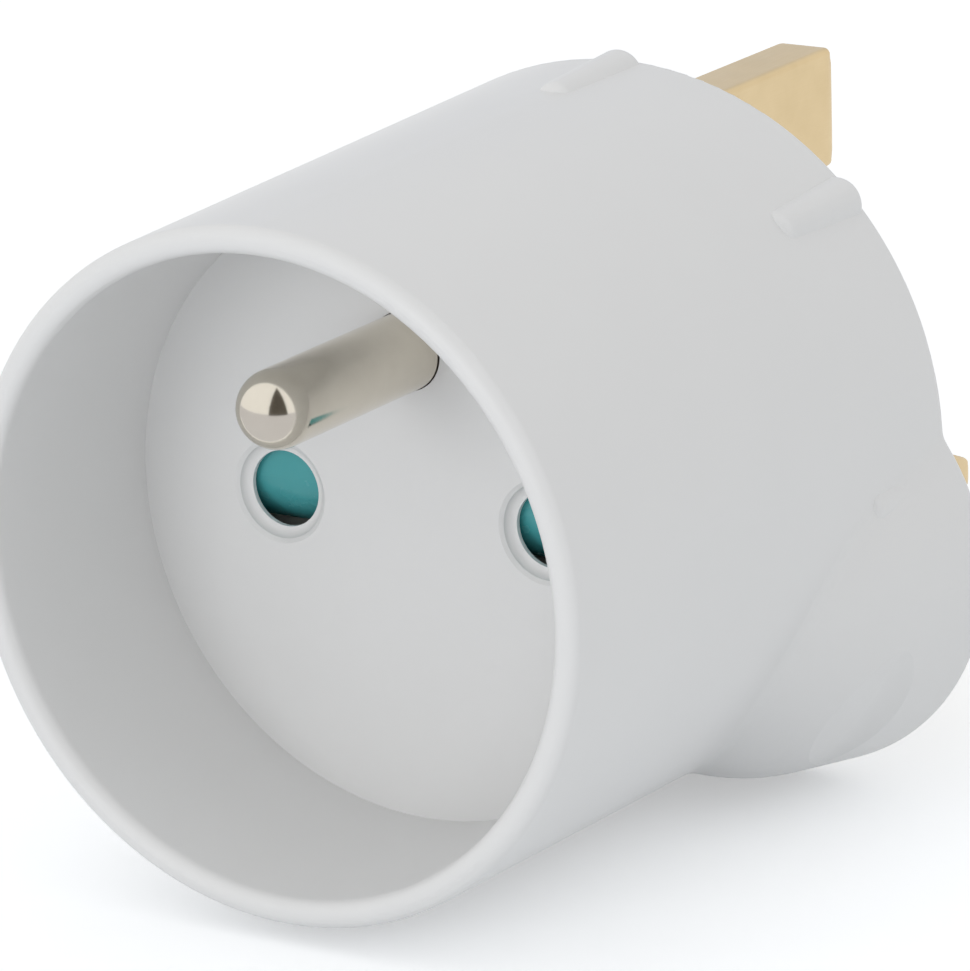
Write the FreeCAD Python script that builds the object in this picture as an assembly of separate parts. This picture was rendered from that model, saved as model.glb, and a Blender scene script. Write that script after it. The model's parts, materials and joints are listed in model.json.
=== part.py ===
"""Mains plug adapter: a round-pin socket in a cup, on a plug with three flat pins.

Units are millimetres. X points right as one faces the socket, +Y points out of the plug
face along its pins, and Z points up towards the earth pins. The origin is the centre of the
socket face, the floor of the cup, midway between the two contact holes.
"""
import FreeCAD, Part
import math
import os

V = FreeCAD.Vector
ALONG_Y = V(0, 1, 0)

# How far a cutting tool runs past a face, and how far the parts of one moulding run together
over = 1.0
bite = 0.5

# How close a point has to lie to a surface to count as on it, and the most of a wall that a
# round on one of its edges may take
match = 0.01
round_limit = 0.48

# Socket side: recess, contact holes and its round earth pin
recess_dia = 39.0
recess_depth = 15.8
contact_spacing = 19.0
contact_hole_dia = 4.82
contact_dish = 0.65
contact_dish_turn = 75.0
contact_dish_lip = 0.25
socket_earth_dia = 4.8
socket_earth_height = 10.0
socket_earth_reach = 16.0
socket_earth_foot = 0.15
socket_earth_shoulder = 0.2
socket_earth_tenon_step = 0.4
root_gap = 0.05

# Plug side: three flat pins, sizes from the plug face outwards
pin_row_spacing = 22.2
pin_row_middle = 3.5
line_pin_spacing = 22.2
line_pin_width = 6.35
line_pin_height = 4.0
line_pin_reach = 17.7
earth_pin_width = 4.0
earth_pin_height = 8.0
earth_pin_reach = 22.7
earth_pin_cover = 3.8
pin_corner = 0.45
tip_round_in_height = 1.2
tip_round_in_width = 0.6
sleeve_reach = 9.5
sleeve_wall = 0.5

# Moulded housing
body_length = 42.0
rim_wall = 1.7
rim_round = 0.8
shell_wall = 2.0
rear_lip = 1.3
rear_round = 0.6
face_thickness = 2.0
window_thickness = 0.95

# Ears at the line pins, bodies of revolution about each pin
ear_drop = 0.25
ear_knee_radius = 12.9
ear_knee_from_rear = 7.7
ear_flare = 10.0
ear_nose_radius = 16.7
ear_blend = 1.6

# Flat on each ear for a finger: a wide scoop, turned from straight up, that runs out in a soft sweep
grip_bow = 14.0
grip_shift = 14.8
grip_turn = 126.0
grip_end_from_rear = 8.4
grip_sweep = 7.0
grip_sweep_turn = 45.0

# Grip ribs at the rear edge
rib_turn = 46.0
low_rib_turn = 95.0
rib_length = 9.0
rib_front_radius = 1.3
rib_rear_radius = 1.7
rib_front_rise = 0.5
rib_rear_rise = 0.8
rib_end_round = 0.7
rib_end_setback = 0.3

# Base plate that closes the housing, and its screws
base_thickness = 2.6
base_proud = 1.0
base_gap = 0.1
collar_length = 1.1
guide_wall = 0.9
guide_setback = 1.5
screw_from_edge = 4.56
screw_turn = 30.3
screw_shank_dia = 2.9
screw_head_dia = 5.2
screw_head_height = 1.7
screw_head_sink = 0.5
screw_length = 11.0
screw_tip_room = 2.0
cross_slot_reach = 1.6
cross_slot_width = 0.8
cross_slot_depth = 1.0
boss_dia = 6.2
boss_shoulder_dia = 8.0

# Safety shutter behind the contact holes
shutter_gap = 0.3
shutter_pin_gap = 0.8
shutter_slide_gap = 0.2
shutter_thickness = 3.2
blade_inner_cover = 1.1
blade_outer_cover = 1.9
blade_top_cover = 0.2
blade_foot_cover = 0.4
blade_flat = 2.2
blade_foot_lip = 0.9
blade_bow = 0.12
tongue_half_width = 3.0
tongue_length = 6.4
tongue_floor = 1.2
travel_spare = 0.08
spring_channel_half = 1.5
spring_skin = 0.9
spring_coil_dia = 2.2
spring_wire_dia = 0.32
spring_turns = 6
spring_turn_steps = 12
spring_wire_sides = 6
spring_seat_gap = 0.05
peg_half_width = 1.2
peg_height = 1.2
peg_clearance = 1.2

# Inner carrier that holds the contacts
carrier_plate = 1.8
carrier_gap = 0.3
rail_width = 1.2
rail_below = 1.0
rail_above = 3.0
pin_way_dia = 5.8
pocket_half = 3.2
pocket_wall = 0.9
post_half_width = 2.2
post_half_height = 1.6

# Stamped brass parts
leaf_thickness = 0.6
leaf_height = 5.0
leaf_waist = 2.3
leaf_mouth = 3.1
leaf_straight = 0.45
leaf_flare = 0.22
strap_thickness = 0.8
strap_edge = 1.2
strap_corner = 1.0
strap_slope = 2.2
earth_strap_thickness = 1.5
earth_pad = 0.7
tenon_dia = 2.4
tenon_head_dia = 3.6
tenon_half_width = 1.2
tenon_margin = 1.0
rivet_dia = 2.0
rivet_head_dia = 3.4
rivet_head_height = 0.45
pin_head_height = 1.5
pin_head_margin = 0.8

# Cartridge fuse, its clips and the drawer that carries it
fuse_dia = 6.35
fuse_length = 25.4
fuse_tube_dia = 5.6
fuse_cap_length = 5.6
fuse_cap_wall = 0.35
drawer_web = 1.9
drawer_plate = 2.2
drawer_end_wall = 1.1
drawer_cheek = 1.0
drawer_gap = 0.15
drawer_side_gap = 0.2
drawer_reach = 1.0
cheek_setback = 1.0
notch_half_width = 1.6
notch_depth = 0.9
clip_gap = 0.1
clip_rise = 1.6
clip_thickness = 0.6
clip_setback = 1.2
arm_gap = 0.4
arm_width = 3.2

# Places worked out from the sizes above
rear_y = body_length - recess_depth
face_y = rear_y + base_proud
mouth_y = -recess_depth
earth_pin_rise = pin_row_middle + pin_row_spacing / 2
recess_r = recess_dia / 2
mouth_r = recess_r + rim_wall
rim_edge = min(rim_round, round_limit * rim_wall)
rear_r = earth_pin_rise + earth_pin_height / 2 + earth_pin_cover
draft_slope = (rear_r - mouth_r) / body_length
flare_angle = math.radians(ear_flare)
ear_x = line_pin_spacing / 2
line_pin_z = pin_row_middle - pin_row_spacing / 2
ear_z = line_pin_z - ear_drop
knee_y = rear_y - ear_knee_from_rear
ear_centre_r = ear_knee_radius - ear_nose_radius * math.cos(flare_angle)
ear_centre_y = knee_y + ear_nose_radius * math.sin(flare_angle)
contact_x = contact_spacing / 2
hole_r = contact_hole_dia / 2
socket_earth_r = socket_earth_dia / 2
socket_root_r = socket_earth_r - socket_earth_shoulder
socket_tenon_r = socket_root_r - socket_earth_tenon_step
base_inner_y = face_y - base_thickness
screw_head_y = face_y - screw_head_sink
screw_x = (rear_r - screw_from_edge) * math.sin(math.radians(screw_turn))
screw_z = (rear_r - screw_from_edge) * math.cos(math.radians(screw_turn))
screw_places = [(side_x * screw_x, side_z * screw_z) for side_x in (-1, 1) for side_z in (-1, 1)]

shutter_y = window_thickness + shutter_gap
shutter_back_y = shutter_y + shutter_thickness
blade_inner = contact_x - hole_r - blade_inner_cover
blade_outer = contact_x + hole_r + blade_outer_cover
blade_top = hole_r + blade_top_cover
blade_foot = -hole_r - blade_foot_cover
blade_flat_foot = blade_top - blade_flat
shutter_travel = hole_r - blade_foot + travel_spare
web_top = socket_earth_height - socket_earth_r - shutter_pin_gap - shutter_travel
tongue_foot = blade_foot - tongue_length
spring_y = (shutter_y + spring_skin + shutter_back_y) / 2
spring_foot = tongue_foot + tongue_floor + spring_seat_gap
spring_top = web_top + peg_clearance - spring_seat_gap
plate_y = shutter_back_y + shutter_slide_gap
plate_back_y = plate_y + carrier_plate

pin_head_back_y = base_inner_y - collar_length
strap_back_y = pin_head_back_y - pin_head_height
strap_y = strap_back_y - strap_thickness
contact_base_y = strap_y - leaf_thickness
earth_strap_y = plate_back_y + earth_pad
earth_strap_back_y = earth_strap_y + earth_strap_thickness
drawer_top = earth_pin_rise - earth_pin_height / 2 - drawer_web - drawer_gap
fuse_height = drawer_top - drawer_end_wall - drawer_gap - fuse_length / 2
fuse_y = face_y - drawer_plate - fuse_dia / 2
clip_inner = fuse_dia / 2 + clip_gap
clip_outer = clip_inner + clip_thickness
clip_base_y = fuse_y - clip_outer
clip_reach = fuse_length / 2 - fuse_cap_length / 2
lower_clip_z = fuse_height - clip_reach
upper_clip_z = fuse_height + clip_reach


def body_radius(y):
    """Outer radius of the drafted cup at a height y along its axis."""
    return mouth_r + draft_slope * (y - mouth_y)


def box(x0, x1, y0, y1, z0, z1):
    return Part.makeBox(x1 - x0, y1 - y0, z1 - z0, V(x0, y0, z0))


def bar(radius, y0, y1, x=0.0, z=0.0):
    """Round bar along Y."""
    return Part.makeCylinder(radius, y1 - y0, V(x, y0, z), ALONG_Y)


def cone(r0, r1, y0, y1, x=0.0, z=0.0):
    """Cone along Y, of radius r0 at y0 and r1 at y1."""
    return Part.makeCone(r0, r1, y1 - y0, V(x, y0, z), ALONG_Y)


def turned(edges, x=0.0, z=0.0):
    """Body of revolution about the line through (x, z) along Y, from edges drawn as (radius, y)."""
    face = Part.Face(Part.Wire(edges))
    solid = face.revolve(V(0, 0, 0), ALONG_Y, 360)
    solid.translate(V(x, 0, z))
    return solid


def line(a, b):
    return Part.LineSegment(V(a[0], a[1], 0), V(b[0], b[1], 0)).toShape()


def arc(a, m, b):
    return Part.Arc(V(a[0], a[1], 0), V(m[0], m[1], 0), V(b[0], b[1], 0)).toShape()


def plate(points, y0, y1):
    """Flat plate between y0 and y1, outlined by (x, z) points."""
    corners = [V(x, y0, z) for x, z in points]
    return Part.Face(Part.makePolygon(corners + corners[:1])).extrude(V(0, y1 - y0, 0))


def edges_along_y(shape):
    return [edge for edge in shape.Edges if abs(edge.tangentAt(edge.FirstParameter).y) > 1 - match]


def rounded_bar(width, height, corner, y0, y1, x=0.0, z=0.0):
    """Flat bar along Y with its four long edges rounded."""
    flat_bar = box(x - width / 2, x + width / 2, y0, y1, z - height / 2, z + height / 2)
    return flat_bar.makeFillet(corner, edges_along_y(flat_bar))


def mirrored(shape):
    """The same shape on the other side of the middle plane x = 0."""
    return shape.mirror(V(0, 0, 0), V(1, 0, 0))


def joined(shapes):
    return shapes[0].multiFuse(shapes[1:]).removeSplitter()


def cut_all(shape, tools):
    return shape.cut(Part.makeCompound(tools))


def ear_outline(grow, y_end):
    """Profile of an ear as (radius, y) edges, pushed outwards by grow."""
    radius = ear_nose_radius + grow
    nose = (0.0, ear_centre_y - math.sqrt(radius ** 2 - ear_centre_r ** 2))
    knee = (ear_centre_r + radius * math.cos(flare_angle), ear_centre_y - radius * math.sin(flare_angle))
    turn = (math.atan2(nose[1] - ear_centre_y, -ear_centre_r) - flare_angle) / 2
    middle = (ear_centre_r + radius * math.cos(turn), ear_centre_y + radius * math.sin(turn))
    end = (knee[0] + (y_end - knee[1]) * math.tan(flare_angle), y_end)
    return [arc(nose, middle, knee), line(knee, end), line(end, (0.0, y_end)), line((0.0, y_end), nose)]


def ear_radius(y):
    """Radius of the ear's flared flank at y."""
    return ear_knee_radius + (y - knee_y) * math.tan(flare_angle)


def ear_blank(y_end):
    """Right ear with the flat that a finger pulls on."""
    ear = turned(ear_outline(0.0, y_end), ear_x, ear_z)
    turn = math.radians(grip_turn)
    away_x = ear_x - grip_shift * math.sin(turn)
    away_z = ear_z - grip_shift * math.cos(turn)
    nose, flank, end, axis = ear_outline(grip_bow, rear_y - grip_end_from_rear)
    start = flank.valueAt(flank.LastParameter)
    lean = flare_angle + math.radians(grip_sweep_turn)
    middle = sweep_point(start, (flare_angle + lean) / 2)
    stop = sweep_point(start, lean)
    foot = (0.0, stop[1])
    sweep = arc((start.x, start.y), middle, stop)
    front = nose.valueAt(nose.FirstParameter)
    floor = turned([nose, flank, sweep, line(stop, foot), line(foot, (0.0, front.y))], away_x, away_z)
    return ear.cut(bar(stop[0], 0.0, stop[1], away_x, away_z).cut(floor))


def sweep_point(start, lean):
    """Point of the soft sweep behind the finger's flat, where it leans outwards by an angle."""
    rise = grip_sweep * (math.cos(flare_angle) - math.cos(lean))
    run = grip_sweep * (math.sin(lean) - math.sin(flare_angle))
    return (start.x + rise, start.y + run)


def off_ear(point):
    """How far a point lies from the turned surface of an ear's flank and nose."""
    radius = math.hypot(abs(point.x) - ear_x, point.z - ear_z)
    if point.y > knee_y:
        return abs(radius - ear_radius(point.y)) * math.cos(flare_angle)
    return abs(math.hypot(radius - ear_centre_r, point.y - ear_centre_y) - ear_nose_radius)


def off_cup(point):
    """How far a point lies from the outside of the cup."""
    return abs(math.hypot(point.x, point.z) - body_radius(point.y)) * math.cos(math.atan(draft_slope))


def middle_of(edge):
    return edge.valueAt((edge.FirstParameter + edge.LastParameter) / 2)


def edges_at(shape, y):
    """The shape's edges that lie in the plane at y."""
    flat = [edge for edge in shape.Edges if edge.BoundBox.YLength < match]
    return [edge for edge in flat if abs(edge.BoundBox.YMin - y) < match]


def full_circles(shape, y, radius):
    """The shape's whole round edges in the plane at y, of the given radius about the cup's axis."""
    found = []
    for edge in edges_at(shape, y):
        middle = middle_of(edge)
        if abs(math.hypot(middle.x, middle.z) - radius) < match:
            found.append(edge)
    return found


def make_shell():
    """Outer form of the housing, still solid: drafted cup, two ears and their blends."""
    y_end = rear_y + 4 * ear_blend
    cup = cone(mouth_r, body_radius(y_end), mouth_y, y_end)
    ear = ear_blank(y_end)
    shell = joined([cup, ear, mirrored(ear)])
    creases = []
    for edge in shell.Edges:
        middle = middle_of(edge)
        if off_cup(middle) < match and off_ear(middle) < 5 * match and middle.y < y_end - match:
            creases.append(edge)
    shell = shell.makeFillet(ear_blend, creases)
    reach = 2 * body_radius(y_end)
    shell = shell.cut(box(-reach, reach, rear_y, y_end + over, -reach, reach))
    return shell.makeFillet(min(rear_round, round_limit * rear_lip), edges_at(shell, rear_y))


def make_rib(polar):
    """Tapered grip rib along the body, at an angle from straight up."""
    front_y = rear_y - rib_length
    front = body_radius(front_y) + rib_front_rise - rib_front_radius
    rear = body_radius(rear_y) + rib_rear_rise - rib_rear_radius
    lean = math.atan2(rear - front, rib_length)
    length = (rib_length - rib_end_setback) / math.cos(lean)
    axis = V(0, math.cos(lean), math.sin(lean))
    rib = Part.makeCone(rib_front_radius, rib_rear_radius, length, V(0, front_y, front), axis)
    rib = rib.makeFillet(rib_end_round, [edge for edge in rib.Edges if len(edge.Vertexes) == 1])
    rib.rotate(V(0, 0, 0), ALONG_Y, polar)
    return rib


def make_cavity(y_end):
    """Room inside the housing, behind the socket face."""
    front_r = body_radius(face_thickness) - shell_wall
    inner = cone(front_r, body_radius(y_end) - shell_wall, face_thickness, y_end)
    ear = turned(ear_outline(-shell_wall, y_end), ear_x, ear_z)
    return joined([inner, ear, mirrored(ear)])


def rear_outline(inset, y0, y1):
    """Block with the outline of the rear edge, pulled in by inset."""
    ear = bar(ear_radius(rear_y) - inset, y0, y1, ear_x, ear_z)
    return joined([bar(body_radius(rear_y) - inset, y0, y1), ear, mirrored(ear)])


def fuse_room():
    """Room that the fuse, its clips and its drawer take in the mouldings round them."""
    half, low, high = drawer_window(drawer_gap)
    return box(-half, half, clip_base_y - drawer_gap, face_y + over, low, high)


def shutter_room():
    """Pocket in the back of the socket face for the shutter and its travel."""
    side = blade_outer + shutter_slide_gap
    inner = blade_inner - shutter_slide_gap
    neck = tongue_half_width + shutter_slide_gap
    foot = blade_foot - shutter_slide_gap
    lift = shutter_travel + shutter_slide_gap
    back = face_thickness + over
    blade = box(inner, side, window_thickness, back, foot, blade_top + lift)
    web = box(-inner, inner, window_thickness, back, foot, web_top + lift)
    tongue = box(-neck, neck, window_thickness, back, tongue_foot - shutter_slide_gap, foot)
    return joined([web, blade, mirrored(blade), tongue])


def contact_dish_cutter(x):
    """Tool for the dished ring round a contact hole, with its bevelled outer lip."""
    lean = math.radians(contact_dish_turn)
    floor = (0.0, contact_dish)
    bottom = (hole_r, contact_dish)
    middle = (hole_r + contact_dish * math.sin(lean / 2), contact_dish * math.cos(lean / 2))
    lip = (hole_r + contact_dish * math.sin(lean), contact_dish * math.cos(lean))
    rim = (lip[0] + contact_dish_lip, 0.0)
    front = (rim[0], -over)
    axis = (0.0, -over)
    return turned([
        line(floor, bottom), arc(bottom, middle, lip), line(lip, rim), line(rim, front), line(front, axis),
        line(axis, floor)
    ], x)


def make_housing():
    """Cup, socket face, ears and screw bosses, moulded in one piece."""
    shell = make_shell()
    shell = shell.makeFillet(rim_edge, full_circles(shell, mouth_y, mouth_r))
    ribs = [make_rib(turn) for turn in (0.0, rib_turn, -rib_turn, low_rib_turn, -low_rib_turn)]
    shell = joined([shell] + ribs)
    shell = cut_all(shell, [make_cavity(rear_y + over), rear_outline(rear_lip, base_inner_y, rear_y + over)])
    shell = shell.cut(bar(recess_r, mouth_y - over, 0.0))
    shell = shell.makeFillet(rim_edge, full_circles(shell, mouth_y, recess_r))
    bosses = []
    for x, z in screw_places:
        bosses.append(bar(boss_dia / 2, face_thickness - bite, base_inner_y, x, z))
        bosses.append(bar(boss_shoulder_dia / 2, face_thickness - bite, plate_y, x, z))
    in_wall = shell_wall / 2
    limit = cone(body_radius(0.0) - in_wall, body_radius(rear_y) - in_wall, 0.0, rear_y)
    shell = joined([shell] + [boss.common(limit) for boss in bosses])
    holes = [bar(socket_earth_r + root_gap, -over, face_thickness + over, 0.0, socket_earth_height)]
    holes.append(shutter_room())
    for x in (-contact_x, contact_x):
        holes.append(bar(hole_r, -over, face_thickness + over, x))
        holes.append(contact_dish_cutter(x))
    screw_end = screw_head_y - screw_length - screw_tip_room
    for x, z in screw_places:
        holes.append(bar(screw_shank_dia / 2, screw_end, face_y, x, z))
    return cut_all(shell, holes + [fuse_room()])


def drawer_window(grow):
    """Half width and the two ends in z of the fuse drawer's front plate, with a gap round it."""
    half = fuse_dia / 2 + drawer_side_gap + drawer_cheek + grow
    end = fuse_length / 2 + drawer_gap + drawer_end_wall + grow
    return half, fuse_height - end, fuse_height + end


def make_base():
    """Rear plate with the pin slots, the drawer's window and the sunk screw holes."""
    half, low, high = drawer_window(drawer_gap)
    collars = [pin_head(x, pin_head_back_y, base_inner_y + bite) for x in (-ear_x, ear_x)]
    guide_y = strap_back_y + shutter_gap
    setback = fuse_cap_length + guide_setback
    guide = box(
        half, half + guide_wall, guide_y, base_inner_y + bite,
        fuse_height - fuse_length / 2 + setback, fuse_height + fuse_length / 2 - setback
    )
    head_room_x = line_pin_width / 2 + pin_head_margin + base_gap
    head_room_z = line_pin_height / 2 + pin_head_margin + base_gap
    guide = guide.cut(box(
        ear_x - head_room_x, ear_x + head_room_x, guide_y - over, pin_head_back_y,
        line_pin_z - head_room_z, line_pin_z + head_room_z
    ))
    plate = rear_outline(rear_lip + base_gap, base_inner_y, face_y)
    base = joined([plate, guide, mirrored(guide)] + collars)
    cuts = [box(-half, half, base_inner_y - over, face_y + over, low, high)]
    for x in (-ear_x, ear_x):
        cuts.append(pin_slot(line_pin_width, line_pin_height, pin_head_back_y, x, line_pin_z))
    cuts.append(pin_slot(earth_pin_width, earth_pin_height, base_inner_y, 0.0, earth_pin_rise))
    for x, z in screw_places:
        cuts.append(bar(screw_shank_dia / 2, base_inner_y - over, screw_head_y, x, z))
        cuts.append(screw_head(x, z))
        cuts.append(bar(screw_head_dia / 2, screw_head_y, face_y + over, x, z))
    return cut_all(base, cuts)


def pin_head(x, y0, y1):
    """Block with the outline of a line pin's head, from y0 to y1."""
    half_x = line_pin_width / 2 + pin_head_margin
    half_z = line_pin_height / 2 + pin_head_margin
    return box(x - half_x, x + half_x, y0, y1, line_pin_z - half_z, line_pin_z + half_z)


def pin_slot(width, height, y0, x, z):
    """Tool for a pin's slot, from y0 out through the plug face."""
    return rounded_bar(width, height, pin_corner, y0 - over, face_y + over, x, z)


def screw_head(x, z):
    """Countersunk head of a base screw."""
    under_y = screw_head_y - screw_head_height
    return cone(screw_shank_dia / 2, screw_head_dia / 2, under_y, screw_head_y, x, z)


def make_screw(x, z):
    """Countersunk screw with a cross slot, its head in the base plate and its shank in the boss."""
    head = screw_head(x, z)
    shank = bar(screw_shank_dia / 2, screw_head_y - screw_length, screw_head_y - screw_head_height, x, z)
    bottom = screw_head_y - cross_slot_depth
    top = screw_head_y + over
    reach = cross_slot_reach
    half = cross_slot_width / 2
    across = box(x - reach, x + reach, bottom, top, z - half, z + half)
    upright = box(x - half, x + half, bottom, top, z - reach, z + reach)
    return cut_all(joined([head, shank]), [across, upright])


def make_socket_earth_pin():
    """Round earth pin with a domed tip, a shoulder on the socket face and a tenon in the earth strap."""
    tip = -socket_earth_reach
    dome = tip + socket_earth_r
    lean = math.pi / 4
    middle = (socket_earth_r * math.sin(lean), dome - socket_earth_r * math.cos(lean))
    corners = [
        (socket_earth_r, dome), (socket_earth_r, -socket_earth_foot),
        (socket_root_r, 0.0), (socket_root_r, earth_strap_y),
        (socket_tenon_r, earth_strap_y), (socket_tenon_r, earth_strap_back_y),
        (0.0, earth_strap_back_y), (0.0, tip),
    ]
    outline = [arc(corners[-1], middle, corners[0])]
    outline += [line(a, b) for a, b in zip(corners, corners[1:])]
    return turned(outline, 0.0, socket_earth_height)


def round_tip(block, tip_y, radius, across):
    """Round the block's edges at the tip that have no length along the given axis."""
    edges = [edge for edge in edges_at(block, tip_y) if getattr(edge.BoundBox, across + "Length") < match]
    return block.makeFillet(radius, edges)


def round_tipped_pin(width, height, y0, tip_y, x, z):
    """Flat pin with rounded long edges, its tip rounded in height and in width."""
    pin = rounded_bar(width, height, pin_corner, y0, tip_y, x, z)
    side_view = box(x - width, x + width, y0, tip_y, z - height / 2, z + height / 2)
    top_view = box(x - width / 2, x + width / 2, y0, tip_y, z - height, z + height)
    pin = pin.common(round_tip(side_view, tip_y, tip_round_in_height, "Z"))
    return pin.common(round_tip(top_view, tip_y, tip_round_in_width, "X"))


def earth_tenon():
    """Flat tenon of the plug's earth pin, through the strap."""
    low = socket_earth_height + socket_earth_r + tenon_margin
    high = earth_pin_rise + earth_pin_height / 2 - tenon_margin
    return box(-tenon_half_width, tenon_half_width, earth_strap_y, earth_strap_back_y, low, high)


def make_plug_earth_pin():
    """Flat earth pin with a collar under the base plate and a tenon in the earth strap."""
    tip_y = face_y + earth_pin_reach
    pin = round_tipped_pin(earth_pin_width, earth_pin_height, earth_strap_back_y, tip_y, 0.0, earth_pin_rise)
    width = earth_pin_width + 2 * pin_head_margin
    collar_y = base_inner_y - pin_head_height
    collar = rounded_bar(width, earth_pin_height, pin_corner, collar_y, base_inner_y, 0.0, earth_pin_rise)
    return joined([pin, collar, earth_tenon()])


def earth_strap_block(gap):
    """Block as large as the earth strap, with a gap round it."""
    half = socket_earth_r + strap_edge + gap
    low = socket_earth_height - half
    high = earth_pin_rise + earth_pin_height / 2 + gap
    return box(-half, half, earth_strap_y, earth_strap_back_y + gap, low, high)


def make_earth_strap():
    """Plate that joins the two earth pins inside the body."""
    strap = earth_strap_block(0.0)
    strap = strap.makeFillet(strap_corner, edges_along_y(strap))
    hole = bar(socket_tenon_r, earth_strap_y - over, earth_strap_back_y + over, 0.0, socket_earth_height)
    return cut_all(strap, [hole, earth_tenon()])


def make_line_pin(side):
    """Live or neutral pin: waisted where the sleeve sits, with a head and a riveted tenon inside."""
    x = side * ear_x
    sleeve_end = face_y + sleeve_reach
    tip_y = face_y + line_pin_reach
    tip = round_tipped_pin(line_pin_width, line_pin_height, sleeve_end, tip_y, x, line_pin_z)
    waist_x = line_pin_width / 2 - sleeve_wall
    waist_z = line_pin_height / 2 - sleeve_wall
    waist = box(
        x - waist_x, x + waist_x, strap_back_y, sleeve_end + bite, line_pin_z - waist_z, line_pin_z + waist_z
    )
    head = pin_head(x, strap_back_y, pin_head_back_y)
    tenon = bar(tenon_dia / 2, strap_y, strap_back_y + bite, x, line_pin_z)
    rivet = bar(tenon_head_dia / 2, strap_y - rivet_head_height, strap_y, x, line_pin_z)
    return joined([tip, waist, head, tenon, rivet])


def make_sleeve(side):
    """Insulating sleeve round the root of a live or neutral pin."""
    x = side * ear_x
    end = face_y + sleeve_reach
    sleeve = rounded_bar(line_pin_width, line_pin_height, pin_corner, pin_head_back_y, end, x, line_pin_z)
    bore_x = line_pin_width / 2 - sleeve_wall
    bore_z = line_pin_height / 2 - sleeve_wall
    bore = box(
        x - bore_x, x + bore_x, pin_head_back_y - over, end + over, line_pin_z - bore_z, line_pin_z + bore_z
    )
    return sleeve.cut(bore)


def make_shutter():
    """Spring-loaded shutter: two ramped blades on a web, with a tongue that holds the spring."""
    back = shutter_back_y
    foot_y = back - blade_foot_lip
    profile = [
        line((shutter_y, blade_top), (shutter_y, blade_flat_foot)),
        arc((shutter_y, blade_flat_foot), blade_bulge(foot_y), (foot_y, blade_foot)),
        line((foot_y, blade_foot), (back, blade_foot)),
        line((back, blade_foot), (back, blade_top)),
        line((back, blade_top), (shutter_y, blade_top)),
    ]
    section = Part.Face(Part.Wire(profile))
    section.rotate(V(0, 0, 0), V(1, 0, 0), 90)
    section.rotate(V(0, 0, 0), V(0, 0, 1), 90)
    blade = section.extrude(V(blade_outer - blade_inner, 0, 0))
    blade.translate(V(blade_inner, 0, 0))
    web = box(-blade_inner, blade_inner, shutter_y, back, blade_foot, web_top)
    tongue = box(-tongue_half_width, tongue_half_width, shutter_y, back, tongue_foot, blade_foot)
    shutter = joined([blade, mirrored(blade), web, tongue])
    channel_y = shutter_y + spring_skin
    channel_foot = tongue_foot + tongue_floor
    half = spring_channel_half
    return shutter.cut(box(-half, half, channel_y, back + over, channel_foot, web_top + over))


def blade_bulge(foot_y):
    """Middle point of the bowed ramp on a blade's face, as (y, z)."""
    run_y = foot_y - shutter_y
    run_z = blade_flat_foot - blade_foot
    chord_y = (shutter_y + foot_y) / 2
    chord_z = (blade_flat_foot + blade_foot) / 2
    return (chord_y - blade_bow * run_z, chord_z - blade_bow * run_y)


def make_spring():
    """Compression spring that pushes the shutter down over the holes."""
    wire_r = spring_wire_dia / 2
    coil_r = (spring_coil_dia - spring_wire_dia) / 2
    low = spring_foot + spring_wire_dia
    height = spring_top - spring_wire_dia - low
    steps = spring_turns * spring_turn_steps
    path = []
    for step in range(steps + 1):
        turn = 2 * math.pi * step / spring_turn_steps
        x = coil_r * math.cos(turn)
        y = coil_r * math.sin(turn)
        path.append(V(x, spring_y + y, low + height * step / steps))
    along = (path[1] - path[0]).normalize()
    across = along.cross(V(0, 0, 1)).normalize()
    upright = across.cross(along)
    ring = []
    for corner in range(spring_wire_sides):
        turn = 2 * math.pi * corner / spring_wire_sides
        ring.append(path[0] + across * (wire_r * math.cos(turn)) + upright * (wire_r * math.sin(turn)))
    section = Part.makePolygon(ring + ring[:1])
    return Part.makePolygon(path).makePipeShell([section], True, False, 1)


def bore_cone(gap):
    """The inside of the cup's wall behind the socket face, pulled in by a gap."""
    inset = shell_wall + gap
    return cone(body_radius(0.0) - inset, body_radius(rear_y) - inset, 0.0, rear_y)


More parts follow.
